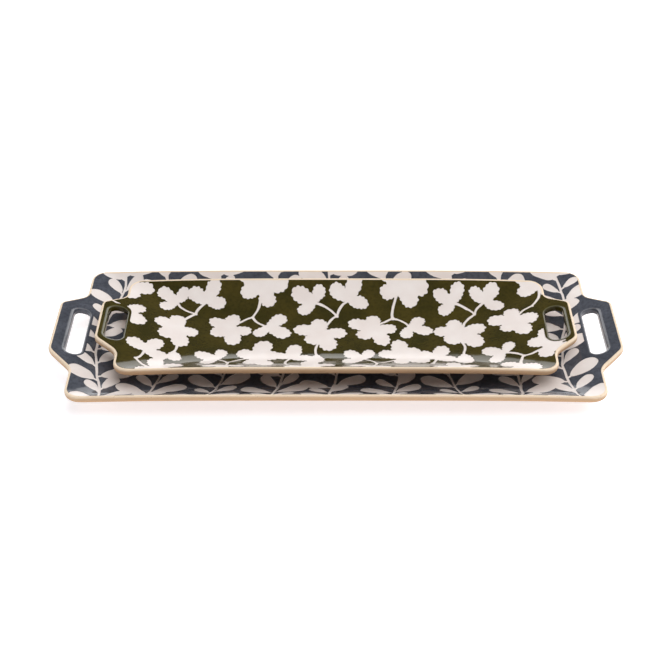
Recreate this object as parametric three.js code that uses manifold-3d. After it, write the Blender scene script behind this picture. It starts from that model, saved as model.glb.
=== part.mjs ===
// A nested pair of stoneware serving trays. Each is a long rectangular dish with gently curved walls and an
// open handle at either end, and the small one stands on the floor of the large one. A tray is a pressed
// clay body, left bare at its edge and underneath, with a cream slip coat and a coloured glaze coat fired
// on its face.
import * as THREE from "three";
import { ParametricGeometry } from "three/addons/geometries/ParametricGeometry.js";
import { mergeVertices } from "three/addons/utils/BufferGeometryUtils.js";
import Module from "manifold-3d";

const wasm = await Module();
wasm.setup();

// ---- Driving dimensions, in millimetres. X runs along the trays, Y across them, and Z up. ----

const sideGap = 25.75; // plan gap between the two rims along each long side
const endGap = 37; // plan gap between the two rims at each end, handles left out
const footClearance = 0.05; // between the small tray's foot and the large tray's glazed floor
const coatClearance = 0.02; // hairline under each coat, which keeps it a solid of its own
const slipThickness = 0.4; // cream slip coat
const glazeThickness = 0.4; // coloured glaze coat over it
const bareRim = 2.5; // clay left bare all round the edge of each coat
const edgeRounding = 1.2; // how far the top corner of the rim is rounded in
const undersideRounding = 2.5; // the same for its lower corner

const largeTray = {
  name: "large_tray",
  glazeColour: "#2b3345",
  length: 440, // rim to rim along X, without the handles
  width: 183.5, // rim to rim along Y
  cornerRadius: 13,
  rimHeight: 25, // clay rim above the foot, at the middle of a long side
  endDip: 2.7, // how much lower the rim is at the two ends
  floorHeight: 6.2, // clay floor above the foot
  clayThickness: 6, // measured straight down
  sideRunShare: 0.47, // share of the half width that the curved wall of a long side takes up
  endRunShare: 0.39, // share of the half length that the gentler wall of an end takes up
  wallFlare: 1.6, // slope at the rim over the wall's mean slope
  floorCornerShare: 0.72, // corner radius of the flat floor, as a share of its half width
  footShare: 0.3, // how far up the curved wall the foot's outer edge stands: 0 at the floor and 1 at the rim
  footWidth: 6,
  footRecess: 1.5, // clearance between the table and the underside inside the foot
  handleReach: 20, // how far each handle stands out from the end of the rim
  handleRootShare: 0.575, // width of the handle where it leaves the dish, as a share of the tray's width
  handleTipShare: 0.375, // the same at its tip
  handleRise: 7, // how much higher the handle's tip is than the rim at the end
  handleRootRadius: 13,
  handleTipRadius: 10,
  barWidth: 12.5, // grip bar between the slot and the handle's outer edge
  slotWidth: 13.5,
  slotLength: 64,
  slotCornerRadius: 6,
};

const smallTray = {
  name: "small_tray",
  glazeColour: "#3d3a1c",
  length: largeTray.length - 2 * endGap,
  width: largeTray.width - 2 * sideGap,
  cornerRadius: 13,
  rimHeight: 26,
  endDip: 3,
  floorHeight: 6.2,
  clayThickness: 6.2,
  sideRunShare: 0.71,
  endRunShare: 0.525,
  wallFlare: 1.6,
  floorCornerShare: 0.85,
  footShare: 0.33,
  footWidth: 6,
  footRecess: 1.5,
  handleReach: 19,
  handleRootShare: 0.605,
  handleTipShare: 0.4,
  handleRise: 4.8,
  handleRootRadius: 11,
  handleTipRadius: 8,
  barWidth: 7,
  slotWidth: 15.5,
  slotLength: 47,
  slotCornerRadius: 7,
};

const cornerSteps = 3; // flats that each rounded corner of an outline is drawn with
const longestFlat = 60; // longest stretch of an outline with no point on it
const wallSteps = 4; // flats across the curved wall
const tolerance = 1e-3; // points closer than this are one point

// ---- Plan outlines ----

// A polygon's corners, given in order with a radius each, drawn as arcs. Every point of the outline comes
// with the direction that faces straight out of it, so that the outline can be drawn again further in.
function roundedOutline(corners) {
  const place = ({ x, y }) => new THREE.Vector2(x, y);
  return corners.flatMap((entry, i) => {
    const corner = place(entry);
    const toBefore = place(corners.at(i - 1)).sub(corner).normalize();
    const toAfter = place(corners[(i + 1) % corners.length]).sub(corner).normalize();
    const turn = -Math.sign(toBefore.cross(toAfter)); // 1 where the outline bulges out, -1 where it bends in
    const halfAngle = Math.acos(toBefore.dot(toAfter)) / 2;
    const centre = toBefore.clone().add(toAfter).setLength(entry.radius / Math.sin(halfAngle)).add(corner);
    const start = toBefore.clone().multiplyScalar(entry.radius / Math.tan(halfAngle)).add(corner);
    const sweep = turn * (Math.PI - 2 * halfAngle);
    return Array.from({ length: cornerSteps + 1 }, (_, k) => {
      const point = start.clone().rotateAround(centre, (sweep * k) / cornerSteps);
      return { point, outward: point.clone().sub(centre).setLength(turn) };
    });
  });
}

// The same outline with points added, so that no stretch of it is longer than longestFlat.
function subdivided(outline) {
  return outline.flatMap((entry, i) => {
    const next = outline[(i + 1) % outline.length];
    const steps = Math.ceil(entry.point.distanceTo(next.point) / longestFlat);
    return Array.from({ length: steps }, (_, k) => ({
      point: entry.point.clone().lerp(next.point, k / steps),
      outward: entry.outward,
    }));
  });
}

// The tray's whole rim line, seen from above: the dish and its two handles.
function rimOutline(tray) {
  const end = tray.length / 2;
  const side = tray.width / 2;
  const tip = end + tray.handleReach;
  const quarter = [
    { x: tip, y: tray.handleTipShare * side, radius: tray.handleTipRadius },
    { x: end, y: tray.handleRootShare * side, radius: tray.handleRootRadius },
    { x: end, y: side, radius: tray.cornerRadius },
  ];
  const mirrored = (corners, signX, signY) =>
    corners.map(({ x, y, radius }) => ({ x: signX * x, y: signY * y, radius }));
  return subdivided(
    roundedOutline([
      ...quarter,
      ...mirrored(quarter, -1, 1).reverse(),
      ...mirrored(quarter, -1, -1),
      ...mirrored(quarter, 1, -1).reverse(),
    ]),
  );
}

// The outline's points moved straight in by the distance given.
const inset = (outline, distance) =>
  outline.map(({ point, outward }) => point.clone().addScaledVector(outward, -distance));

// For each outline point, the nearest point of a rounded rectangle that lies inside the outline.
function nearestOnRectangle(outline, halfLength, halfWidth, radius) {
  const coreX = halfLength - radius;
  const coreY = halfWidth - radius;
  return outline.map(({ point }) => {
    const core = new THREE.Vector2(
      THREE.MathUtils.clamp(point.x, -coreX, coreX),
      THREE.MathUtils.clamp(point.y, -coreY, coreY),
    );
    return point.clone().sub(core).setLength(radius).add(core);
  });
}

// The rounded rectangle that lies the given share of the way up the curved wall: 0 is the edge of the flat
// floor and 1 is the rim of the dish. A margin moves it in by that much all round.
function levelRectangle(tray, share, margin = 0) {
  const { lerp } = THREE.MathUtils;
  const [rimLength, rimWidth] = [tray.length / 2, tray.width / 2];
  const [floorLength, floorWidth] = [rimLength * (1 - tray.endRunShare), rimWidth * (1 - tray.sideRunShare)];
  return {
    halfLength: lerp(floorLength, rimLength, share) - margin,
    halfWidth: lerp(floorWidth, rimWidth, share) - margin,
    radius: lerp(tray.floorCornerShare * floorWidth, tray.cornerRadius, share) - margin,
  };
}

function ringAt(tray, outline, share, margin) {
  const { halfLength, halfWidth, radius } = levelRectangle(tray, share, margin);
  return nearestOnRectangle(outline, halfLength, halfWidth, radius);
}

// Points part of the way from one ring to another that has the same number of points.
const between = (inner, outer, share) => inner.map((point, i) => point.clone().lerp(outer[i], share));

// ---- The height of the clay face ----

// The share of the way up the curved wall at a plan point.
function wallShare(tray, { x, y }) {
  const outside = (share) => {
    const { halfLength, halfWidth, radius } = levelRectangle(tray, share);
    const overX = Math.abs(x) - (halfLength - radius);
    const overY = Math.abs(y) - (halfWidth - radius);
    const corner = Math.hypot(Math.max(overX, 0), Math.max(overY, 0));
    return corner + Math.min(Math.max(overX, overY), 0) > radius;
  };
  if (!outside(0)) return 0;
  if (outside(1)) return 1;
  let [low, high] = [0, 1];
  while (high - low > 1e-7) {
    const middle = (low + high) / 2;
    if (outside(middle)) low = middle;
    else high = middle;
  }
  return low;
}

// The clay face above the tray's own foot: flat floor, curved wall, then the handle, which eases off upwards.
function clayHeight(tray, point) {
  const end = tray.length / 2;
  const along = Math.min(Math.abs(point.x) / end, 1);
  const wallHeight = tray.rimHeight - tray.endDip * along ** 4 - tray.floorHeight;
  const share = wallShare(tray, point);
  const { wallFlare } = tray;
  const rise = (3 - wallFlare) * share ** 2 + (wallFlare - 2) * share ** 3;
  const endWallHeight = tray.rimHeight - tray.endDip - tray.floorHeight;
  const rootSlope = (wallFlare * endWallHeight) / (tray.endRunShare * end);
  const out = Math.max(Math.abs(point.x) - end, 0);
  const easing = (tray.handleRise - rootSlope * tray.handleReach) / tray.handleReach ** 2;
  return tray.floorHeight + wallHeight * rise + rootSlope * out + easing * out ** 2;
}

// ---- Solids ----

// A closed skin through a stack of rings of equal length, each {points, height}, from the top middle outwards
// and back in underneath. The first and last ring are closed with a point in the middle of the tray.
function skinThrough(rings) {
  const level = (ring, point) => new THREE.Vector3(point.x, point.y, ring.height(point));
  const middle = (ring) => ring.points.map(() => new THREE.Vector3(0, 0, ring.height(new THREE.Vector2())));
  const rows = [
    middle(rings[0]),
    ...rings.map((ring) => ring.points.map((point) => level(ring, point))),
    middle(rings.at(-1)),
  ];
  const around = rows[0].length;
  const surface = (u, v, target) => {
    const row = rows[Math.round(u * (rows.length - 1))];
    target.copy(row[Math.round(v * around) % around]);
  };
  return new ParametricGeometry(surface, rows.length - 1, around);
}

// A three.js geometry as a manifold solid, with shared points merged and faces of no area left out.
function solidOf(geometry) {
  const bare = geometry.clone().deleteAttribute("normal").deleteAttribute("uv");
  const merged = mergeVertices(bare, tolerance);
  const corners = [];
  for (let i = 0; i < merged.index.count; i += 3) {
    const [a, b, c] = [0, 1, 2].map((k) => merged.index.getX(i + k));
    if (a !== b && b !== c && c !== a) corners.push(a, b, c);
  }
  const vertProperties = merged.getAttribute("position").array;
  return new wasm.Manifold(new wasm.Mesh({ numProp: 3, vertProperties, triVerts: new Uint32Array(corners) }));
}

// A manifold solid as a three.js geometry.
function geometryOf(solid) {
  const { vertProperties, triVerts } = solid.getMesh();
  const geometry = new THREE.BufferGeometry();
  geometry.setAttribute("position", new THREE.BufferAttribute(vertProperties, 3));
  geometry.setIndex(new THREE.BufferAttribute(triVerts, 1));
  geometry.computeVertexNormals();
  return geometry;
}

// The finger slot of one handle, as a prism that runs past both faces of the tray.
function slotPrism(tray, side) {
  const outerEdge = tray.length / 2 + tray.handleReach - tray.barWidth;
  const middle = side * (outerEdge - tray.slotWidth / 2);
  const corners = [[1, 1], [-1, 1], [-1, -1], [1, -1]].map(([signX, signY]) => ({
    x: middle + (signX * tray.slotWidth) / 2,
    y: (signY * tray.slotLength) / 2,
    radius: tray.slotCornerRadius,
  }));
  const depth = 2 * (tray.rimHeight + tray.handleRise);
  const shape = new THREE.Shape(inset(roundedOutline(corners), 0));
  const prism = new THREE.ExtrudeGeometry(shape, { depth, bevelEnabled: false });
  return solidOf(prism.translate(0, 0, -depth / 4));
}

// Rings of plan points shared by the clay and its coats, from the floor's edge out to where the coats stop.
function faceRings(tray, outline) {
  const wall = Array.from({ length: wallSteps }, (_, k) => ringAt(tray, outline, k / wallSteps));
  const dishEdge = ringAt(tray, outline, 1, bareRim);
  const coatEdge = inset(outline, bareRim);
  return [...wall, dishEdge, between(dishEdge, coatEdge, 0.5), coatEdge];
}

// The pressed clay body: floor, walls, handles and foot ring in one piece. Its rings run out over the face,
// round the rim, back in under the wall, and down and up over the foot.
function clayBody(tray, outline, face) {
  const top = (point) => clayHeight(tray, point);
  const lowered = (drop) => (point) => clayHeight(tray, point) - drop;
  const at = (height) => () => height;
  const { clayThickness, footShare, footWidth } = tray;
  const edge = inset(outline, 0);
  const footOuter = ringAt(tray, outline, footShare);
  const footInner = ringAt(tray, outline, footShare, footWidth);
  const underWall = face.slice(Math.ceil(footShare * wallSteps), -1).reverse();
  return solidOf(
    skinThrough([
      ...face.map((points) => ({ points, height: top })),
      { points: inset(outline, edgeRounding), height: top },
      { points: edge, height: lowered(edgeRounding) },
      { points: edge, height: lowered(clayThickness - undersideRounding) },
      { points: inset(outline, undersideRounding), height: lowered(clayThickness) },
      ...underWall.map((points) => ({ points, height: lowered(clayThickness) })),
      { points: footOuter, height: lowered(clayThickness) },
      { points: footOuter, height: at(0) },
      { points: footInner, height: at(0) },
      { points: footInner, height: at(tray.footRecess) },
    ]),
  );
}

// Everything from below the tray up to a sheet that lies the given height above the clay face.
function blockUnder(tray, face, rise) {
  const sheet = face.map((points) => ({ points, height: (point) => clayHeight(tray, point) + rise }));
  return solidOf(skinThrough([...sheet, { points: face.at(-1), height: () => -tray.clayThickness }]));
}

// A fired coat that lies on the clay face between two heights above it.
function coat(tray, face, lower, upper) {
  return blockUnder(tray, face, upper).subtract(blockUnder(tray, face, lower));
}

// ---- Finishes ----

const bareClay = new THREE.MeshStandardMaterial({ color: "#d3a878", roughness: 0.85, metalness: 0 });
const creamSlip = new THREE.MeshStandardMaterial({ color: "#dcd2ca", roughness: 0.35, metalness: 0 });
const glazeOf = (color) => new THREE.MeshStandardMaterial({ color, roughness: 0.12, metalness: 0 });

// ---- Assembly ----

const slipTop = coatClearance + slipThickness;
const glazeTop = slipTop + coatClearance + glazeThickness;

function trayGroup(tray) {
  const outline = rimOutline(tray);
  const face = faceRings(tray, outline);
  const slots = slotPrism(tray, 1).add(slotPrism(tray, -1));
  const group = new THREE.Group();
  const addPiece = (suffix, solid, material) => {
    const mesh = new THREE.Mesh(geometryOf(solid.subtract(slots)), material);
    mesh.name = tray.name + "_" + suffix;
    group.add(mesh);
  };
  addPiece("clay_body", clayBody(tray, outline, face), bareClay);
  addPiece("slip_coat", coat(tray, face, coatClearance, slipTop), creamSlip);
  addPiece("glaze_coat", coat(tray, face, slipTop + coatClearance, glazeTop), glazeOf(tray.glazeColour));
  return group;
}

const trays = new THREE.Group();
const large = trayGroup(largeTray);
const small = trayGroup(smallTray);
small.position.z = largeTray.floorHeight + glazeTop + footClearance;
trays.add(large, small);

export default trays;
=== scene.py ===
import math
from types import SimpleNamespace

import bpy
import numpy as np
from mathutils import Matrix, Vector
from mathutils.geometry import delaunay_2d_cdt
from mathutils.kdtree import KDTree


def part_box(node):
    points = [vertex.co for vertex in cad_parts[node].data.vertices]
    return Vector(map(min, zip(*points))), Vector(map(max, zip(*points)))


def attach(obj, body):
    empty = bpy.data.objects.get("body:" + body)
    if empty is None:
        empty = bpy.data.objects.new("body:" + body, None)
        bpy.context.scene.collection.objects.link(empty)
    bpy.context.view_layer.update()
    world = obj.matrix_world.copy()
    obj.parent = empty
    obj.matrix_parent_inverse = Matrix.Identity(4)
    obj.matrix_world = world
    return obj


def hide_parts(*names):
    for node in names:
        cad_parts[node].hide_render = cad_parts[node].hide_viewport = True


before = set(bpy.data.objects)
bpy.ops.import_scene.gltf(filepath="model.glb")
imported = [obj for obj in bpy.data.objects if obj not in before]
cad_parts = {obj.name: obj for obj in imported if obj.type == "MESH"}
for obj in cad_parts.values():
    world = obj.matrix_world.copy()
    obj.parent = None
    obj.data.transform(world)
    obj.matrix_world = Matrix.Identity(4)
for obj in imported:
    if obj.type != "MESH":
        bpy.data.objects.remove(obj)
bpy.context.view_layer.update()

# ---------------------------------------------------------------- Table and studio
# A plain pale table top with nothing else on it. One very large soft box hangs overhead, slightly behind and
# to the right, in a white tent whose lower sheet is lit, most of all at the back, and whose top is dim.

view_elevation = math.radians(36)
view_distance = 1.222
aim = Vector((0, 0.0232, 0))
back_from_aim = Vector((0, -math.cos(view_elevation), math.sin(view_elevation)))

camera_data = bpy.data.cameras.new("camera")
camera_data.lens = 74.6
camera = bpy.data.objects.new("camera", camera_data)
camera.location = aim + view_distance * back_from_aim
camera.rotation_euler = (math.pi / 2 - view_elevation, 0, 0)
bpy.context.collection.objects.link(camera)
bpy.context.scene.camera = camera
bpy.context.scene.view_settings.view_transform = "Standard"


def linear(hex_colour):
    """An sRGB hex colour as the linear red, green, blue and alpha that a shader socket takes."""
    shares = [int(hex_colour[i : i + 2], 16) / 255 for i in (1, 3, 5)]
    return [s / 12.92 if s <= 0.04045 else ((s + 0.055) / 1.055) ** 2.4 for s in shares] + [1]


def add_node(tree, kind, inputs=None, **settings):
    """Adds a node. An input, given by name or number, is a value or the socket that feeds it. On a Mix node 0
    is the factor and 6 and 7 the two colours, and on a Map Range node 1 to 4 are From Min to To Max."""
    node = tree.nodes.new(kind)
    for name, value in settings.items():
        setattr(node, name, value)
    for name, value in (inputs or {}).items():
        if isinstance(value, bpy.types.NodeSocket):
            tree.links.new(value, node.inputs[name])
        else:
            node.inputs[name].default_value = value
    return node


def new_material(name):
    """A node material with an empty tree."""
    material = bpy.data.materials.new(name)
    material.use_nodes = True
    material.node_tree.nodes.clear()
    return material, material.node_tree


# Opal acrylic sheet, lit evenly from below by slightly cool lamps: it reads as plain white and fills the
# shadow under the trays. It is very faintly cloudy.
table_glow = 0.6
opal_acrylic, tree = new_material("opal_acrylic_sheet")
place = add_node(tree, "ShaderNodeTexCoord")
cloud = add_node(tree, "ShaderNodeTexNoise", {"Vector": place.outputs["Object"], "Scale": 3.0})
sheet_colour = add_node(
    tree,
    "ShaderNodeMix",
    {0: cloud.outputs["Fac"], 6: linear("#e4e4e3"), 7: linear("#e9e9e8")},
    data_type="RGBA",
)
sheet_shader = add_node(
    tree,
    "ShaderNodeBsdfPrincipled",
    {
        "Base Color": sheet_colour.outputs[2],
        "Roughness": 0.9,
        "Emission Color": linear("#eef4ff"),
        "Emission Strength": table_glow,
    },
)
add_node(tree, "ShaderNodeOutputMaterial", {"Surface": sheet_shader.outputs[0]})

table_half = 5.0
table_mesh = bpy.data.meshes.new("table_top")
table_mesh.from_pydata(
    [(x, y, 0) for x, y in ((-1, -1), (1, -1), (1, 1), (-1, 1))], [], [(0, 1, 2, 3)]
)
table_mesh.transform(Matrix.Scale(table_half, 4))
table_mesh.materials.append(opal_acrylic)
table_top = bpy.data.objects.new("table_top", table_mesh)
bpy.context.collection.objects.link(table_top)

soft_box_data = bpy.data.lights.new("soft_box", "AREA")
soft_box_data.size = 3.0
soft_box_data.energy = 66
soft_box = bpy.data.objects.new("soft_box", soft_box_data)
soft_box.location = (0.8, 0.0, 2.2)
soft_box.rotation_euler = (0, math.radians(20), 0)
soft_box.visible_glossy = False  # the glazes mirror the tent's sheets, which hang in front of it
bpy.context.collection.objects.link(soft_box)

lit_sheet_top = math.sin(math.radians(27.5))
dim_sheet_start = math.sin(math.radians(30))
tent = bpy.data.worlds.new("white_tent")
tent.use_nodes = True
bpy.context.scene.world = tent
tree = tent.node_tree
tree.nodes.clear()
sky = add_node(tree, "ShaderNodeTexCoord")
height = add_node(tree, "ShaderNodeSeparateXYZ", {0: sky.outputs["Generated"]})
low_sheet = add_node(
    tree, "ShaderNodeMapRange", {"Value": height.outputs["Y"], 1: -0.3, 2: 0.5, 3: 0.8, 4: 2.3}
)
dimming = add_node(
    tree,
    "ShaderNodeMapRange",
    {
        "Value": height.outputs["Z"],
        1: lit_sheet_top,
        2: dim_sheet_start,
        3: low_sheet.outputs[0],
        4: 0.1,
    },
    interpolation_type="SMOOTHSTEP",
)
tent_light = add_node(
    tree, "ShaderNodeBackground", {"Color": linear("#ffffff"), "Strength": dimming.outputs[0]}
)
add_node(tree, "ShaderNodeOutputWorld", {"Surface": tent_light.outputs[0]})

# ---------------------------------------------------------------- Pressed clay bodies
# Each tray is one slab of speckled buff stoneware, pressed in a mould: a long rectangular dish whose walls
# curve up from a flat floor, with a handle at either end, a finger slot cut through it and a low foot ring
# underneath. The clay is left bare at the edge and below, sponged round while it was soft, then fired.

mm = 0.001  # the trays are drawn in millimetres and scaled when their meshes are made


def tray_form(body, **sizes):
    """A tray's sizes, with its overall length, width and place taken from its clay body in the frame. The
    runs, the floor's corner and the handle's root and tip are shares of the half length or half width, and
    foot_share is how far up the curved wall the foot's outer edge stands."""
    low, high = (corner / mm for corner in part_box(body + "_clay_body"))
    return SimpleNamespace(
        body=body,
        base=low.z,
        tip=high.x,
        half_length=high.x - sizes["handle_reach"],
        half_width=high.y,
        **sizes,
    )


large = tray_form(
    "large_tray",
    corner_radius=13,
    rim_height=25,
    end_dip=2.7,
    floor_height=6.2,
    thickness=6.0,
    side_run=0.47,
    end_run=0.39,
    flare=1.6,
    floor_corner=0.72,
    foot_share=0.3,
    foot_width=6,
    foot_recess=1.5,
    handle_reach=20,
    handle_root=0.575,
    handle_tip=0.375,
    handle_rise=7,
    root_radius=13,
    tip_radius=10,
    bar_width=12.5,
    slot_width=13.5,
    slot_length=64,
    slot_radius=6,
)
small = tray_form(
    "small_tray",
    corner_radius=13,
    rim_height=26,
    end_dip=3,
    floor_height=6.2,
    thickness=6.2,
    side_run=0.71,
    end_run=0.525,
    flare=1.6,
    floor_corner=0.85,
    foot_share=0.33,
    foot_width=6,
    foot_recess=1.5,
    handle_reach=19,
    handle_root=0.605,
    handle_tip=0.4,
    handle_rise=4.8,
    root_radius=11,
    tip_radius=8,
    bar_width=7,
    slot_width=15.5,
    slot_length=47,
    slot_radius=7,
)


def rounded_outline(corners, arc_steps=8, longest=3.0):
    """A polygon with rounded corners, each (x, y, radius), anticlockwise. Gives its points and, for each,
    the direction straight out, so that the outline can be drawn again further in or out."""
    points = []
    outwards = []
    places = [np.array(corner[:2], float) for corner in corners]
    for i, (x, y, radius) in enumerate(corners):
        at = places[i]
        to_before = (places[i - 1] - at) / np.linalg.norm(places[i - 1] - at)
        after = places[(i + 1) % len(corners)]
        to_after = (after - at) / np.linalg.norm(after - at)
        turn = -np.sign(to_before[0] * to_after[1] - to_before[1] * to_after[0])
        half_angle = math.acos(np.dot(to_before, to_after)) / 2
        inwards = (to_before + to_after) / np.linalg.norm(to_before + to_after)
        centre = at + inwards * radius / math.sin(half_angle)
        arm = at + to_before * radius / math.tan(half_angle) - centre
        for k in range(arc_steps + 1):
            angle = turn * (math.pi - 2 * half_angle) * k / arc_steps
            cosine, sine = math.cos(angle), math.sin(angle)
            turned = np.array((arm[0] * cosine - arm[1] * sine, arm[0] * sine + arm[1] * cosine))
            points.append(centre + turned)
            outwards.append(turned * turn / radius)
    fine_points = []
    fine_outwards = []
    for i, point in enumerate(points):
        gap = points[(i + 1) % len(points)] - point
        steps = max(1, math.ceil(np.linalg.norm(gap) / longest))
        for k in range(steps):
            fine_points.append(point + gap * k / steps)
            fine_outwards.append(outwards[i])
    return np.array(fine_points), np.array(fine_outwards)


def tray_outline(tray):
    """The rim line of the dish and its two handles, seen from above."""
    quarter = [
        (tray.tip, tray.handle_tip * tray.half_width, tray.tip_radius),
        (tray.half_length, tray.handle_root * tray.half_width, tray.root_radius),
        (tray.half_length, tray.half_width, tray.corner_radius),
    ]
    right = [(x, -y, radius) for x, y, radius in reversed(quarter)] + quarter
    left = [(-x, -y, radius) for x, y, radius in right]
    return rounded_outline(right + left)


def slot_outline(tray, side):
    """The finger slot of the handle on one side, 1 for right and -1 for left."""
    middle = side * (tray.tip - tray.bar_width - tray.slot_width / 2)
    half_x, half_y = tray.slot_width / 2, tray.slot_length / 2
    signs = ((1, -1), (1, 1), (-1, 1), (-1, -1))
    return rounded_outline([(middle + sx * half_x, sy * half_y, tray.slot_radius) for sx, sy in signs])


def level_rectangle(tray, share):
    """Half length, half width and corner radius of the dish at a share of the way up its curved wall."""
    floor_length = tray.half_length * (1 - tray.end_run)
    floor_width = tray.half_width * (1 - tray.side_run)
    floor_radius = tray.floor_corner * floor_width
    return (
        floor_length + (tray.half_length - floor_length) * share,
        floor_width + (tray.half_width - floor_width) * share,
        floor_radius + (tray.corner_radius - floor_radius) * share,
    )


def distance_outside(points, half_length, half_width, radius):
    """How far plan points stand outside a rounded rectangle; negative inside it."""
    over_x = np.abs(points[:, 0]) - half_length + radius
    over_y = np.abs(points[:, 1]) - half_width + radius
    corner = np.hypot(np.maximum(over_x, 0), np.maximum(over_y, 0))
    return corner + np.minimum(np.maximum(over_x, over_y), 0) - radius


def clay_face(tray, points):
    """Height of the clay's upper face: flat floor, curved wall, and the handle's gentler slope beyond it.
    Each point's share of the way up the wall is found by halving."""
    low = np.zeros(len(points))
    high = np.ones(len(points))
    halvings = 22
    for _ in range(halvings):
        share = (low + high) / 2
        outside = distance_outside(points, *level_rectangle(tray, share)) > 0
        low = np.where(outside, share, low)
        high = np.where(outside, high, share)
    rise = (3 - tray.flare) * low**2 + (tray.flare - 2) * low**3
    along = np.minimum(np.abs(points[:, 0]) / tray.half_length, 1)
    wall = tray.rim_height - tray.end_dip * along**4 - tray.floor_height
    end_wall = tray.rim_height - tray.end_dip - tray.floor_height
    root_slope = tray.flare * end_wall / (tray.end_run * tray.half_length)
    out = np.maximum(np.abs(points[:, 0]) - tray.half_length, 0)
    easing = (tray.handle_rise - root_slope * tray.handle_reach) / tray.handle_reach**2
    return tray.base + tray.floor_height + wall * rise + root_slope * out + easing * out**2


foot_fillet = 0.7  # the hollow between the wall's back and the foot
foot_lip = 0.2  # the foot's outer edge, outside its flat
foot_edge = 0.8  # the rounding on either side of its flat


def underside(tray, points):
    """Height of the clay's lower face: the wall's back, the foot ring and the shallow recess inside it."""
    length, width, radius = level_rectangle(tray, tray.foot_share)
    inwards = -distance_outside(points, length, width, radius)
    foot = np.interp(
        inwards,
        [foot_lip, foot_edge, tray.foot_width - foot_edge, tray.foot_width, tray.foot_width + foot_edge],
        [0.35, 0, 0, 0.25, tray.foot_recess],
    )
    wall = clay_face(tray, points) - tray.thickness - tray.base
    blend = np.clip((foot_lip - inwards) / foot_fillet, 0, 1)
    return tray.base + foot + (wall - foot) * blend


def plan_net(polygons, lines=(), spacing=4.0, margin=1.3):
    """Triangulates plan polygons together over a staggered grid, fine enough to follow a curved face. Gives
    the points, the triangles, which polygons each is in, and where each loop's corners went."""
    loops = [np.asarray(loop, float) for loop in (*polygons, *lines)]
    corners = np.concatenate(loops)
    starts = np.cumsum([0, *map(len, loops)])
    near = KDTree(len(corners))
    for i, corner in enumerate(corners):
        near.insert((*corner, 0), i)
    near.balance()
    low, high = corners.min(0), corners.max(0)
    row_height = spacing * 0.866  # makes the staggered points' triangles equilateral
    rows = np.arange(low[1] + spacing / 2, high[1], row_height)
    grid = [
        (x + (spacing / 2 if k % 2 else 0), y)
        for k, y in enumerate(rows)
        for x in np.arange(low[0] + spacing / 4, high[0], spacing)
    ]
    grid = [spot for spot in grid if near.find((*spot, 0))[2] > margin]
    rings = [list(range(a, b)) for a, b in zip(starts, starts[1:])]
    edges = [(a, b) for ring in rings[len(polygons) :] for a, b in zip(ring, ring[1:] + ring[:1])]
    spots = [Vector(spot) for spot in (*corners, *grid)]
    points, _, triangles, origins, _, owners = delaunay_2d_cdt(
        spots, edges, rings[: len(polygons)], 0, 1e-5
    )
    place = {source: k for k, sources in enumerate(origins) for source in sources}
    return SimpleNamespace(
        points=np.array([tuple(point) for point in points]),
        triangles=triangles,
        owners=owners,
        loops=[[place[i] for i in ring] for ring in rings],
    )


class Shell:
    """Points and faces of one mesh, gathered before it is made, with how pale its finish is at each point."""

    def __init__(self):
        self.points = []
        self.faces = []
        self.paleness = []

    def add(self, plan, heights, paleness=0):
        """Adds plan points at their heights, and gives the number of the first."""
        first = len(self.points)
        self.points += [(x, y, z) for (x, y), z in zip(plan, heights)]
        self.paleness += [paleness] * len(plan)
        return first

    def strip(self, upper, lower, inner_on_left=True):
        """Joins two loops of equal length, with the solid on the left of their direction or the right."""
        for i in range(len(upper)):
            k = (i + 1) % len(upper)
            face = (upper[i], lower[i], lower[k], upper[k])
            self.faces.append(face if inner_on_left else face[::-1])

    def loft(self, first, last, outline, profile, face, inner_on_left):
        """Joins the loop first to the loop last through a profile of (distance out, rise, paleness)."""
        points, outwards = outline
        upper = first
        for out, rise, paleness in profile:
            plan = points + outwards * out
            start = self.add(plan, face(plan) + rise, paleness)
            lower = list(range(start, start + len(plan)))
            self.strip(upper, lower, inner_on_left)
            upper = lower
        self.strip(upper, last, inner_on_left)

    def make(self, name, material, body, node):
        """Makes the mesh and its object, rides it on its body and hides the CAD node it stands for."""
        mesh = bpy.data.meshes.new(name)
        mesh.from_pydata([tuple(c * mm for c in point) for point in self.points], [], self.faces)
        mesh.attributes.new("paleness", "FLOAT", "POINT").data.foreach_set("value", self.paleness)
        mesh.shade_smooth()
        mesh.set_sharp_from_angle(angle=math.radians(45))
        mesh.materials.append(material)
        piece = bpy.data.objects.new(name, mesh)
        bpy.context.collection.objects.link(piece)
        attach(piece, body)
        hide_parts(node)
        return piece


# Each profile is a list of (distance out from the rim line, rise above the clay face, paleness). It runs
# from the glaze line over the sponged edge and down. A slot's is measured from the slot's own outline, and
# the glaze lines it. The starts are where profiles leave the face and the underside. On the rim the paleness
# is a painted highlight: the top of the edge is painted paler than its side, as if lit from above.
bare_rim = 2.4
rim_start = 3.4
rim_underside_start = 2.8
# The rim profile's third values paint the top of the edge pale and fade it down the side: a painted
# highlight.
rim_profile = [
    (-2.4, 0.5, 0.9),
    (-1.7, 0.55, 1),
    (-1.0, 0.25, 1),
    (-0.45, -0.4, 0.9),
    (-0.1, -1.3, 0.55),
    (0.0, -2.4, 0.1),
]
slot_start = 3.0
slot_underside_start = 2.4
slot_profile = [(1.9, -0.3, 0), (1.1, -1.0, 0), (0.6, -2.2, 0)]


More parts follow.
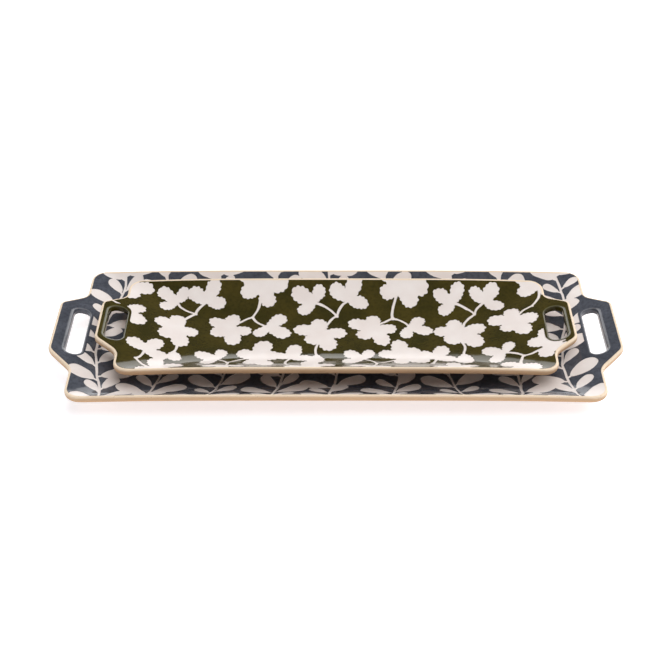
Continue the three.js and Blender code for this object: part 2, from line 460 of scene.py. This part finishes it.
def clay_body(tray, material):
    """The whole clay body: its face, rounded edges, slots, underside and foot ring, as one closed shell."""
    outline = tray_outline(tray)
    slots = [slot_outline(tray, side) for side in (1, -1)]
    lower_rim = [
        (-0.1, 2.4 - tray.thickness, 0),
        (-0.6, 1.1 - tray.thickness, 0),
        (-1.5, 0.3 - tray.thickness, 0),
    ]
    lower_slot = [
        (0.6, 1.6 - tray.thickness, 0),
        (0.9, 0.7 - tray.thickness, 0),
        (1.5, 0.15 - tray.thickness, 0),
    ]
    face_edges = [outline[0] - outline[1] * rim_start]
    face_edges += [points + outwards * slot_start for points, outwards in slots]
    base_edges = [outline[0] - outline[1] * rim_underside_start]
    base_edges += [points + outwards * slot_underside_start for points, outwards in slots]
    length, width, radius = level_rectangle(tray, tray.foot_share)
    foot_insets = (
        foot_lip - foot_fillet,
        foot_lip,
        foot_edge,
        tray.foot_width - foot_edge,
        tray.foot_width,
        tray.foot_width + foot_edge,
    )
    foot_lines = []
    for inset in foot_insets:
        half_x, half_y, round_by = length - inset, width - inset, radius - inset
        signs = ((1, -1), (1, 1), (-1, 1), (-1, -1))
        foot_lines.append(rounded_outline([(sx * half_x, sy * half_y, round_by) for sx, sy in signs])[0])

    shell = Shell()
    top = plan_net(face_edges)
    base = plan_net(base_edges, foot_lines)
    first_top = shell.add(top.points, clay_face(tray, top.points))
    first_base = shell.add(base.points, underside(tray, base.points))
    for net, first, upwards in ((top, first_top, True), (base, first_base, False)):
        for triangle, owners in zip(net.triangles, net.owners):
            if 0 in owners and 1 not in owners and 2 not in owners:
                corners = [first + i for i in triangle]
                shell.faces.append(corners if upwards else corners[::-1])
    for i, (loop, profile) in enumerate(
        [(outline, rim_profile + lower_rim), *((slot, slot_profile + lower_slot) for slot in slots)]
    ):
        shell.loft(
            [first_top + k for k in top.loops[i]],
            [first_base + k for k in base.loops[i]],
            loop,
            profile,
            lambda plan: clay_face(tray, plan),
            i == 0,
        )
    return shell.make(
        tray.body + "_clay", material, tray.body, tray.body + "_clay_body"
    )


# Unglazed buff stoneware, sponged and fired: warm tan and matt, with a fine grog grain under the finger,
# small iron specks, and slow drifts of colour where the flame touched it more. The top of the edge is
# painted paler than its side: a painted highlight, as if the light from above falls on it.
speck_mm = 1.6
grain_mm = 0.5
drift_mm = 28
stoneware, tree = new_material("unglazed_buff_stoneware")
place = add_node(tree, "ShaderNodeTexCoord").outputs["Object"]
drift = add_node(tree, "ShaderNodeTexNoise", {"Vector": place, "Scale": 1 / (drift_mm * mm), "Detail": 3.0})
grain = add_node(tree, "ShaderNodeTexNoise", {"Vector": place, "Scale": 1 / (grain_mm * mm), "Detail": 2.0})
speck = add_node(
    tree, "ShaderNodeTexVoronoi", {"Vector": place, "Scale": 1 / (speck_mm * mm), "Randomness": 1.0}
)
speck_size = add_node(tree, "ShaderNodeTexNoise", {"Vector": place, "Scale": 1 / (3.1 * speck_mm * mm)})
speck_reach = add_node(
    tree, "ShaderNodeMapRange", {"Value": speck_size.outputs["Fac"], 1: 0.52, 2: 0.72, 3: 0.0, 4: 0.3}
)
speck_edge = add_node(
    tree,
    "ShaderNodeMath",
    {0: speck_reach.outputs[0], 1: speck.outputs["Distance"]},
    operation="SUBTRACT",
)
speck_mask = add_node(
    tree, "ShaderNodeMapRange", {"Value": speck_edge.outputs[0], 1: 0.0, 2: 0.08, 3: 0.0, 4: 0.55}
)
drifted = add_node(
    tree,
    "ShaderNodeMix",
    {0: drift.outputs["Fac"], 6: linear("#c19b76"), 7: linear("#d1af8b")},
    data_type="RGBA",
)
grained = add_node(
    tree,
    "ShaderNodeMix",
    {0: grain.outputs["Fac"], 6: drifted.outputs[2], 7: linear("#b38e6b")},
    data_type="RGBA",
)
# Painted highlight: the paleness attribute paints the top of the rim's edge a pale tan and fades it down the
# side.
rim_top_highlight = add_node(tree, "ShaderNodeAttribute", attribute_name="paleness")
highlighted = add_node(
    tree,
    "ShaderNodeMix",
    {0: rim_top_highlight.outputs["Fac"], 6: grained.outputs[2], 7: linear("#ebd7be")},
    data_type="RGBA",
)
specked = add_node(
    tree,
    "ShaderNodeMix",
    {0: speck_mask.outputs[0], 6: highlighted.outputs[2], 7: linear("#8a6340")},
    data_type="RGBA",
)
grit = add_node(
    tree,
    "ShaderNodeBump",
    {"Height": grain.outputs["Fac"], "Strength": 0.35, "Distance": 0.12 * mm},
)
clay_shader = add_node(
    tree,
    "ShaderNodeBsdfPrincipled",
    {"Base Color": specked.outputs[2], "Roughness": 0.82, "Normal": grit.outputs[0]},
)
add_node(tree, "ShaderNodeOutputMaterial", {"Surface": clay_shader.outputs[0]})

for tray in (large, small):
    clay_body(tray, stoneware)

# ---------------------------------------------------------------- Cream slip coats
# The face of each tray was dipped in a thick cream slip, which fires to a smooth satin white with a faint
# pink warmth from the clay under it. It stops short of the rim, where the clay was wiped clean.

slip_rise = 0.52  # its surface, above the clay face
slip_bite = 0.15  # how far its underside lies under the clay face
slip_to_slot = 2.2  # how far it stops from a slot, under the glaze
slip_to_glaze = 0.05  # how far it stops short of the glaze's edge


def closed_sheet(shell, net, chosen, top, thickness, skip=()):
    """Adds the chosen triangles of a plan net as a solid sheet: its top, its underside, and walls along every
    edge but those between two of the skipped points. Gives where its upper and lower points begin."""
    first = shell.add(net.points, top)
    below = shell.add(net.points, top - thickness)
    edges = {}
    for triangle in chosen:
        shell.faces.append([first + i for i in triangle])
        shell.faces.append([below + i for i in reversed(triangle)])
        for a, b in zip(triangle, (*triangle[1:], triangle[0])):
            edges[a, b] = True
    for a, b in edges:
        if (b, a) not in edges and not (a in skip and b in skip):
            shell.faces.append((first + a, below + a, below + b, first + b))
    return first, below


def drop_loose(shell):
    """Removes points that no face uses."""
    used = sorted({i for face in shell.faces for i in face})
    number = {old: new for new, old in enumerate(used)}
    shell.points = [shell.points[i] for i in used]
    shell.faces = [[number[i] for i in face] for face in shell.faces]
    shell.paleness = [shell.paleness[i] for i in used]


def slip_coat(tray, material):
    """The cream slip over the whole coated face, with a hole round each slot."""
    points, outwards = tray_outline(tray)
    polygons = [points - outwards * (bare_rim + slip_to_glaze)]
    polygons += [p + o * slip_to_slot for p, o in (slot_outline(tray, side) for side in (1, -1))]
    net = plan_net(polygons)
    chosen = [t for t, owners in zip(net.triangles, net.owners) if list(owners) == [0]]
    shell = Shell()
    closed_sheet(shell, net, chosen, clay_face(tray, net.points) + slip_rise, slip_rise + slip_bite)
    drop_loose(shell)
    return shell.make(tray.body + "_slip", material, tray.body, tray.body + "_slip_coat")


# Fired cream slip: a satin white, mottled a little where it lay thicker, with an almost flat surface that
# only ripples faintly in the light.
slip_mottle_mm = 16
slip_ripple_mm = 7
slip, tree = new_material("fired_cream_slip")
place = add_node(tree, "ShaderNodeTexCoord").outputs["Object"]
mottle = add_node(
    tree, "ShaderNodeTexNoise", {"Vector": place, "Scale": 1 / (slip_mottle_mm * mm), "Detail": 4.0}
)
ripple = add_node(tree, "ShaderNodeTexNoise", {"Vector": place, "Scale": 1 / (slip_ripple_mm * mm)})
slip_colour = add_node(
    tree,
    "ShaderNodeMix",
    {0: mottle.outputs["Fac"], 6: linear("#dccfc9"), 7: linear("#ece5e1")},
    data_type="RGBA",
)
slip_wave = add_node(
    tree, "ShaderNodeBump", {"Height": ripple.outputs["Fac"], "Strength": 0.3, "Distance": 0.05 * mm}
)
slip_shader = add_node(
    tree,
    "ShaderNodeBsdfPrincipled",
    {
        "Base Color": slip_colour.outputs[2],
        "Roughness": 0.28,
        "IOR": 1.5,
        "Normal": slip_wave.outputs[0],
    },
)
add_node(tree, "ShaderNodeOutputMaterial", {"Surface": slip_shader.outputs[0]})

for tray in (large, small):
    slip_coat(tray, slip)

# ---------------------------------------------------------------- Stencil prints
# The coloured glaze was laid through a cut stencil, which kept it off the flowers, leaves and stems, so they
# show as cream slip. Geometry Nodes lay one leaf shape on every leaf's point and draw the stems as flat
# ribbons; the glaze is then cut round all of them.


def stencil_tree():
    """Nodes that put a flat leaf on each point with a leaf_length, and a flat ribbon along each edge."""
    tree = bpy.data.node_groups.new("stencil_print", "GeometryNodeTree")
    tree.interface.new_socket("Geometry", in_out="INPUT", socket_type="NodeSocketGeometry")
    for name, kind, value in (
        ("Leaf Points", "NodeSocketInt", 44),
        ("Scallops", "NodeSocketFloat", 13.0),
        ("Scallop Depth", "NodeSocketFloat", 0.1),
        ("Taper", "NodeSocketFloat", 0.2),
        ("Stem Width", "NodeSocketFloat", 2.4),
        ("Cut Wander", "NodeSocketFloat", 1.0),
        ("Wander Size", "NodeSocketFloat", 9.0),
        ("Print", "NodeSocketMaterial", None),
    ):
        socket = tree.interface.new_socket(name, in_out="INPUT", socket_type=kind)
        if value is not None:
            socket.default_value = value
    tree.interface.new_socket("Geometry", in_out="OUTPUT", socket_type="NodeSocketGeometry")
    given = add_node(tree, "NodeGroupInput").outputs

    # One leaf, 1 long and 1 wide before its taper: a circle that swells between the scallops' notches. The
    # notches are evened out round it, get shallower towards both ends, and the far end is the wider one.
    circle = add_node(
        tree,
        "GeometryNodeMeshCircle",
        {"Vertices": given["Leaf Points"], "Radius": 0.5},
        fill_type="NGON",
    )
    at = add_node(tree, "ShaderNodeSeparateXYZ", {0: add_node(tree, "GeometryNodeInputPosition").outputs[0]})
    angle = add_node(
        tree, "ShaderNodeMath", {0: at.outputs["Y"], 1: at.outputs["X"]}, operation="ARCTAN2"
    )
    half_turns = add_node(
        tree, "ShaderNodeMath", {0: given["Scallops"], 1: 0.5}, operation="MULTIPLY"
    )
    double = add_node(tree, "ShaderNodeMath", {0: angle.outputs[0], 1: 2.0}, operation="MULTIPLY")
    crowding = add_node(tree, "ShaderNodeMath", {0: double.outputs[0]}, operation="SINE")
    evening = -0.16
    even = add_node(
        tree,
        "ShaderNodeMath",
        {0: crowding.outputs[0], 1: evening, 2: angle.outputs[0]},
        operation="MULTIPLY_ADD",
    )
    wave_at = add_node(
        tree, "ShaderNodeMath", {0: even.outputs[0], 1: half_turns.outputs[0]}, operation="MULTIPLY"
    )
    wave = add_node(tree, "ShaderNodeMath", {0: wave_at.outputs[0]}, operation="COSINE")
    bumps = add_node(tree, "ShaderNodeMath", {0: wave.outputs[0]}, operation="ABSOLUTE")
    along = add_node(tree, "ShaderNodeMath", {0: at.outputs["X"], 1: at.outputs["X"]}, operation="MULTIPLY")
    shallowing = -1.8
    shallower = add_node(
        tree, "ShaderNodeMath", {0: along.outputs[0], 1: shallowing, 2: 1.0}, operation="MULTIPLY_ADD"
    )
    depth = add_node(
        tree,
        "ShaderNodeMath",
        {0: given["Scallop Depth"], 1: shallower.outputs[0]},
        operation="MULTIPLY",
    )
    swell = add_node(
        tree,
        "ShaderNodeMath",
        {0: bumps.outputs[0], 1: depth.outputs[0], 2: 1.0},
        operation="MULTIPLY_ADD",
    )
    flare = add_node(
        tree, "ShaderNodeMath", {0: at.outputs["X"], 1: given["Taper"]}, operation="MULTIPLY"
    )
    widen = add_node(
        tree, "ShaderNodeMath", {0: flare.outputs[0], 1: 2.0, 2: 1.0}, operation="MULTIPLY_ADD"
    )
    reach = add_node(
        tree, "ShaderNodeMath", {0: at.outputs["X"], 1: swell.outputs[0], 2: 0.5}, operation="MULTIPLY_ADD"
    )
    breadth = add_node(
        tree, "ShaderNodeMath", {0: at.outputs["Y"], 1: swell.outputs[0]}, operation="MULTIPLY"
    )
    spread = add_node(
        tree, "ShaderNodeMath", {0: breadth.outputs[0], 1: widen.outputs[0]}, operation="MULTIPLY"
    )
    shaped = add_node(tree, "ShaderNodeCombineXYZ", {"X": reach.outputs[0], "Y": spread.outputs[0]})
    leaf = add_node(
        tree, "GeometryNodeSetPosition", {"Geometry": circle.outputs[0], "Position": shaped.outputs[0]}
    )

    # A leaf on every point that has a length, turned and sized by its own values.
    length = add_node(tree, "GeometryNodeInputNamedAttribute", {"Name": "leaf_length"})
    width = add_node(tree, "GeometryNodeInputNamedAttribute", {"Name": "leaf_width"})
    turn = add_node(tree, "GeometryNodeInputNamedAttribute", {"Name": "leaf_turn"})
    carries = add_node(tree, "ShaderNodeMath", {0: length.outputs[0], 1: 0.0}, operation="GREATER_THAN")
    size = add_node(
        tree, "ShaderNodeCombineXYZ", {"X": length.outputs[0], "Y": width.outputs[0], "Z": 1.0}
    )
    facing = add_node(tree, "ShaderNodeCombineXYZ", {"Z": turn.outputs[0]})
    leaves = add_node(
        tree,
        "GeometryNodeInstanceOnPoints",
        {
            "Points": given["Geometry"],
            "Selection": carries.outputs[0],
            "Instance": leaf.outputs[0],
            "Rotation": facing.outputs[0],
            "Scale": size.outputs[0],
        },
    )

    # A flat ribbon along each route of edges.
    routes = add_node(tree, "GeometryNodeMeshToCurve", {"Mesh": given["Geometry"]})
    level = add_node(
        tree, "GeometryNodeSetCurveNormal", {"Curve": routes.outputs[0]}, mode="Z_UP"
    )
    half = add_node(tree, "ShaderNodeMath", {0: given["Stem Width"], 1: 0.5}, operation="MULTIPLY")
    minus = add_node(tree, "ShaderNodeMath", {0: half.outputs[0], 1: -1.0}, operation="MULTIPLY")
    one_side = add_node(tree, "ShaderNodeCombineXYZ", {"X": half.outputs[0]})
    other_side = add_node(tree, "ShaderNodeCombineXYZ", {"X": minus.outputs[0]})
    ribbon = add_node(
        tree, "GeometryNodeCurvePrimitiveLine", {"Start": one_side.outputs[0], "End": other_side.outputs[0]}
    )
    stems = add_node(
        tree, "GeometryNodeCurveToMesh", {"Curve": level.outputs[0], "Profile Curve": ribbon.outputs[0]}
    )

    # The knife wandered a little as the stencil was cut.
    joined = add_node(tree, "GeometryNodeJoinGeometry", {0: leaves.outputs[0]})
    tree.links.new(stems.outputs[0], joined.inputs[0])
    real = add_node(tree, "GeometryNodeRealizeInstances", {0: joined.outputs[0]})
    ratio = add_node(tree, "ShaderNodeMath", {0: 1.0, 1: given["Wander Size"]}, operation="DIVIDE")
    noise = add_node(tree, "ShaderNodeTexNoise", {"Scale": ratio.outputs[0]})
    aside = add_node(
        tree, "ShaderNodeVectorMath", {0: noise.outputs["Color"], 1: (0.5, 0.5, 0.5)}, operation="SUBTRACT"
    )
    wander = add_node(tree, "ShaderNodeMath", {0: given["Cut Wander"], 1: 4.0}, operation="MULTIPLY")
    offset = add_node(
        tree,
        "ShaderNodeVectorMath",
        {0: aside.outputs[0], "Scale": wander.outputs[0]},
        operation="SCALE",
    )
    by_hand = add_node(
        tree, "GeometryNodeSetPosition", {"Geometry": real.outputs[0], "Offset": offset.outputs[0]}
    )
    printed = add_node(
        tree, "GeometryNodeSetMaterial", {"Geometry": by_hand.outputs[0], "Material": given["Print"]}
    )
    add_node(tree, "NodeGroupOutput", {0: printed.outputs[0]})
    return tree


class Sprigs:
    """The points and stems of a print: where each leaf starts, which way it points and how big it is."""

    def __init__(self, seed):
        self.random = np.random.default_rng(seed)
        self.points = []
        self.edges = []
        self.leaves = []

    def leaf(self, at, turn, length, width):
        """A leaf that starts at a point and points along turn, in radians."""
        self.points.append((at[0], at[1], 0))
        self.leaves.append((turn, length, width))

    def stem(self, route):
        """A stem that follows a route of points."""
        first = len(self.points)
        self.points += [(x, y, 0) for x, y in route]
        self.leaves += [(0, 0, 0)] * len(route)
        self.edges += [(k, k + 1) for k in range(first, len(self.points) - 1)]

    def arm(self, start, end, bend):
        """A stem between two points, bowed sideways by a share of its length."""
        aside = np.array((start[1] - end[1], end[0] - start[0])) * bend
        shares = np.linspace(0, 1, 8)
        self.stem([start + (end - start) * s + aside * 4 * s * (1 - s) for s in shares])

    def polygons(self, tree, inputs):
        """Runs the stencil nodes over the sprigs, and gives every leaf and every stretch of stem in plan."""
        mesh = bpy.data.meshes.new("sprigs")
        mesh.from_pydata(self.points, self.edges, [])
        for k, name in enumerate(("leaf_turn", "leaf_length", "leaf_width")):
            values = mesh.attributes.new(name, "FLOAT", "POINT")
            values.data.foreach_set("value", [leaf[k] for leaf in self.leaves])
        sprigs = bpy.data.objects.new("sprigs", mesh)
        bpy.context.collection.objects.link(sprigs)
        laying = sprigs.modifiers.new("stencil_print", "NODES")
        laying.node_group = tree
        for socket in tree.interface.items_tree:
            if socket.item_type == "SOCKET" and socket.name in inputs:
                laying[socket.identifier] = inputs[socket.name]
        graph = bpy.context.evaluated_depsgraph_get()
        printed = bpy.data.meshes.new_from_object(sprigs.evaluated_get(graph))
        sprigs.modifiers.remove(laying)
        places = np.array([vertex.co[:] for vertex in printed.vertices])
        shapes = [places[list(face.vertices)][:, :2] for face in printed.polygons]
        bpy.data.objects.remove(sprigs)
        return [shape if area_of(shape) > 0 else shape[::-1] for shape in shapes]


def area_of(shape):
    """Signed area of a plan polygon: positive if it runs anticlockwise."""
    x, y = shape[:, 0], shape[:, 1]
    return np.sum(x * np.roll(y, -1) - y * np.roll(x, -1)) / 2


glaze_rise = 0.8  # its surface, above the clay face
glaze_depth = 0.36
collar = 3.4  # how far round a slot the stencil leaves the glaze whole
lining_start = 2.6  # where the glaze starts to turn down into a slot
crumb_area = 16  # in square millimetres; smaller gaps in the stencil fill up with slip
# The lining's profile, out over the slot's edge, down its wall and back up behind. Its third values paint
# the rounded edge paler: partly glaze that runs thin there, partly a painted highlight along the edge.
lining = [
    (1.7, 0.68, 0),
    (1.0, 0.3, 0.15),
    (0.6, -0.05, 0.55),
    (0.35, -0.45, 0.1),
    (0.1, -1.1, 0),
    (0.0, -2.2, 0),
    (0.0, -5.0, 0),
    (0.45, -5.0, 0),
    (0.45, -2.2, 0),
    (1.4, -0.3, 0),
]


def find_patch(patch_of, corner):
    """The lowest point of the patch that a corner is in."""
    while patch_of.setdefault(corner, corner) != corner:
        corner = patch_of[corner]
    return corner


def without_crumbs(points, triangles, least_area):
    """The triangles of a net that hang together in patches of at least some area."""
    patch_of = {}
    for triangle in triangles:
        joined = {find_patch(patch_of, corner) for corner in triangle}
        for patch in joined:
            patch_of[patch] = min(joined)
    area = {}
    for triangle in triangles:
        patch = find_patch(patch_of, triangle[0])
        area[patch] = area.get(patch, 0) + area_of(points[list(triangle)])
    return [t for t in triangles if area[find_patch(patch_of, t[0])] >= least_area]


def glaze_coat(tray, motifs, name, material):
    """The coloured glaze: all of the coated face but the motifs, with a lining down into each slot."""
    points, outwards = tray_outline(tray)
    slots = [slot_outline(tray, side) for side in (1, -1)]
    # The net numbers its polygons: the edge is 0, then come both linings, both collars and the motifs.
    polygons = [points - outwards * bare_rim]
    polygons += [p + o * lining_start for p, o in slots]
    polygons += [p + o * collar for p, o in slots]
    net = plan_net([*polygons, *motifs], spacing=4.0, margin=0.9)
    slot_ids, collar_ids, first_motif = {1, 2}, {3, 4}, 5
    chosen = []
    for triangle, owners in zip(net.triangles, map(set, net.owners)):
        in_motif = any(owner >= first_motif for owner in owners)
        if 0 in owners and not owners & slot_ids and (owners & collar_ids or not in_motif):
            chosen.append(triangle)
    chosen = without_crumbs(net.points, chosen, crumb_area)
    shell = Shell()
    lined = set(net.loops[1]) | set(net.loops[2])
    first, below = closed_sheet(
        shell, net, chosen, clay_face(tray, net.points) + glaze_rise, glaze_depth, lined
    )
    for slot, loop in zip(slots, net.loops[1:3]):
        shell.loft(
            [first + i for i in loop],
            [below + i for i in loop],
            slot,
            lining,
            lambda plan: clay_face(tray, plan),
            False,
        )
    drop_loose(shell)
    return shell.make(name, material, tray.body, tray.body + "_glaze_coat")


def glaze_material(name, thin, deep, dark, thin_edge_and_highlight_colour):
    """A gloss glaze over slip: deep where it pooled and a little lighter where it ran thin, under a smooth
    glassy surface that ripples faintly. Along a slot's edge it is painted paler: partly thin glaze, partly
    a painted highlight."""
    material, tree = new_material(name)
    place = add_node(tree, "ShaderNodeTexCoord").outputs["Object"]
    pool_size, cloud_size, ripple_size, ripple_height = 22 * mm, 2.6 * mm, 9 * mm, 0.06 * mm
    pool = add_node(tree, "ShaderNodeTexNoise", {"Vector": place, "Scale": 1 / pool_size, "Detail": 3.0})
    cloud = add_node(tree, "ShaderNodeTexNoise", {"Vector": place, "Scale": 1 / cloud_size, "Detail": 4.0})
    pooled = add_node(
        tree, "ShaderNodeMapRange", {"Value": pool.outputs["Fac"], 1: 0.35, 2: 0.68, 3: 0.0, 4: 1.0}
    )
    ground = add_node(
        tree,
        "ShaderNodeMix",
        {0: pooled.outputs[0], 6: linear(thin), 7: linear(deep)},
        data_type="RGBA",
    )
    clouded = add_node(
        tree, "ShaderNodeMapRange", {"Value": cloud.outputs["Fac"], 1: 0.45, 2: 0.75, 3: 0.0, 4: 0.6}
    )
    colour = add_node(
        tree,
        "ShaderNodeMix",
        {0: clouded.outputs[0], 6: ground.outputs[2], 7: linear(dark)},
        data_type="RGBA",
    )
    # Painted highlight along a slot's rounded edge, where the glaze also runs thin: paleness lightens the
    # glaze there.
    thin_edge_and_highlight = add_node(tree, "ShaderNodeAttribute", attribute_name="paleness")
    colour = add_node(
        tree,
        "ShaderNodeMix",
        {0: thin_edge_and_highlight.outputs["Fac"], 6: colour.outputs[2], 7: linear(thin_edge_and_highlight_colour)},
        data_type="RGBA",
    )
    ripple = add_node(tree, "ShaderNodeTexNoise", {"Vector": place, "Scale": 1 / ripple_size})
    wave = add_node(
        tree, "ShaderNodeBump", {"Height": ripple.outputs["Fac"], "Strength": 0.5, "Distance": ripple_height}
    )
    shader = add_node(
        tree,
        "ShaderNodeBsdfPrincipled",
        {
            "Base Color": colour.outputs[2],
            "Roughness": 0.09,
            "IOR": 1.52,
            "Normal": wave.outputs[0],
        },
    )
    add_node(tree, "ShaderNodeOutputMaterial", {"Surface": shader.outputs[0]})
    return material


stencil = stencil_tree()

# ---------------------------------------------------------------- The small tray's blossom print
# Lobed blossoms, three-leaf sprigs and a bud with scalloped edges, in twos and threes on forked stems. The
# stencil is one repeat long, and was moved along the tray and laid again, each time by eye.

repeat_length = 122
by_eye = 2  # how far a motif or a fork strays from its place
turn_by_eye = 0.2  # how far a motif turns from its arm's direction
leaf_by_eye = 0.12  # how far a leaf turns in its motif
arm_bend = 0.1  # how far an arm bows to one side, as a share of its length
past_end = 2  # a motif is laid if its place is no further past the tray's end
# Each leaf of a motif: the angle between it and the motif, its length and its width.
blossom_lobes = (
    (-2.25, 17, 11.5),
    (-1.2, 23, 12.5),
    (-0.1, 18.5, 12.5),
    (0.95, 24.5, 12.5),
    (2.05, 18, 12),
)
sprig_leaves = ((-1.3, 17.5, 10.5), (0.05, 21, 11.5), (1.3, 17.5, 10.5))
bud_leaves = ((0.0, 15, 12.5),)
motif_base = {"blossom": 2.5, "sprig": 8, "bud": 6}  # from where the leaves meet to the motif's place
motif_leaves = {"blossom": blossom_lobes, "sprig": sprig_leaves, "bud": bud_leaves}
# Each fork: where it is in the repeat, then what hangs on each of its arms, and where.
forks = (
    ((50, 30), (("blossom", 31, 12), ("sprig", 70, 14), ("blossom", 58, 58))),
    ((80, -44), (("blossom", 98, -58), ("sprig", 88, -22))),
    ((122, 32), (("blossom", 109, 7), ("sprig", 136, 53), ("sprig", 98, 48))),
    ((33, -40), (("sprig", 14, -25), ("sprig", 28, -60), ("blossom", 58, -27))),
    ((106, -6), (("bud", 107, -30),)),
)

stem_width = 2.4
knot = 1.4 * stem_width  # the swelling where a stem forks

sprigs = Sprigs(seed=11)
for repeat in range(-2, 2):
    for fork, arms in forks:
        start = np.array(fork) + (repeat * repeat_length, 0) + sprigs.random.uniform(-by_eye, by_eye, 2)
        sprigs.leaf(start - (knot / 2, 0), 0, knot, knot)
        for kind, x, y in arms:
            spot = np.array((x + repeat * repeat_length, y)) + sprigs.random.uniform(-by_eye, by_eye, 2)
            if abs(spot[0]) > small.half_length + past_end:
                continue
            away = (spot - start) / np.linalg.norm(spot - start)
            turn = math.atan2(away[1], away[0]) + sprigs.random.uniform(-turn_by_eye, turn_by_eye)
            base = spot - away * motif_base[kind]
            sprigs.arm(start, base, sprigs.random.choice((-arm_bend, arm_bend)))
            scale = sprigs.random.uniform(0.93, 1.07)
            for angle, length, width in motif_leaves[kind]:
                swing = turn + angle + sprigs.random.uniform(-leaf_by_eye, leaf_by_eye)
                grown = scale * sprigs.random.uniform(0.92, 1.08)
                sprigs.leaf(base, swing, length * grown, width * grown)
blossoms = sprigs.polygons(
    stencil,
    {
        "Leaf Points": 104,
        "Scallops": 13.0,
        "Scallop Depth": 0.19,
        "Taper": 0.3,
        "Stem Width": stem_width,
        "Cut Wander": 0.8,
        "Wander Size": 9.0,
    },
)
# Olive gloss glaze, almost black where it pooled and lighter where it ran thin. Its last colour is the pale
# slot edge: partly thin glaze, partly a painted highlight.
olive_glaze = glaze_material("olive_gloss_glaze", "#443b13", "#342f0d", "#2a250a", "#7d7a5a")
glaze_coat(small, blossoms, "small_tray_glaze", olive_glaze)

# ---------------------------------------------------------------- The large tray's vine print
# Slim vines that climb from the front edge to the back one, with smooth paddle-shaped leaves in pairs, large
# and small in turn. The stencil covers the whole tray.

vine_spacing = 49
vine_count = 9
leaf_spacing = 18
leaf_stalk = 5
stalk_overlap = 1.5  # how far a leaf runs down its stalk
pair_stagger = 2.5  # how far one leaf of a pair starts past the middle of the pair
sway_pitch = 30  # how far up the vine one radian of its sway is
route_step = 4
edge_gap = 2  # no leaf starts closer to the back edge
big_leaf = (27, 13.5, 1.05)  # length, width, and angle off the vine
little_leaf = (19.5, 9, 0.7)

sprigs = Sprigs(seed=5)
reach = large.half_width + 4
for k in range(vine_count):
    x = (k - (vine_count - 1) / 2) * vine_spacing
    sway = sprigs.random.uniform(4, 7)
    phase = sprigs.random.uniform(0, 2 * math.pi)

    def vine(y):
        return np.array((x + sway * math.sin(y / sway_pitch + phase), y))

    sprigs.stem([vine(y) for y in np.arange(-reach, reach, route_step)])
    for n, y in enumerate(np.arange(-reach, reach, leaf_spacing)):
        for side in (-1, 1):
            length, width, angle = big_leaf if (n + k) % 2 == 0 else little_leaf
            swing = math.pi / 2 - side * (angle + sprigs.random.uniform(-turn_by_eye, turn_by_eye))
            along = np.array((math.cos(swing), math.sin(swing)))
            start = vine(y + side * pair_stagger)
            grown = sprigs.random.uniform(0.9, 1.08)
            if start[1] < large.half_width - edge_gap:
                sprigs.stem([start, start + along * leaf_stalk])
                base = start + along * (leaf_stalk - stalk_overlap)
                sprigs.leaf(base, swing, length * grown, width * grown)
vines = sprigs.polygons(
    stencil,
    {
        "Leaf Points": 40,
        "Scallops": 2.0,
        "Scallop Depth": 0.0,
        "Taper": 0.3,
        "Stem Width": 2.1,
        "Cut Wander": 1.0,
        "Wander Size": 16.0,
    },
)
# Slate navy gloss glaze, nearly charcoal where it pooled and greyer where it ran thin. Its last colour is the
# pale slot edge: partly thin glaze, partly a painted highlight.
navy_glaze = glaze_material("slate_navy_gloss_glaze", "#53565f", "#41444c", "#2f3138", "#9a9ca2")
glaze_coat(large, vines, "large_tray_glaze", navy_glaze)
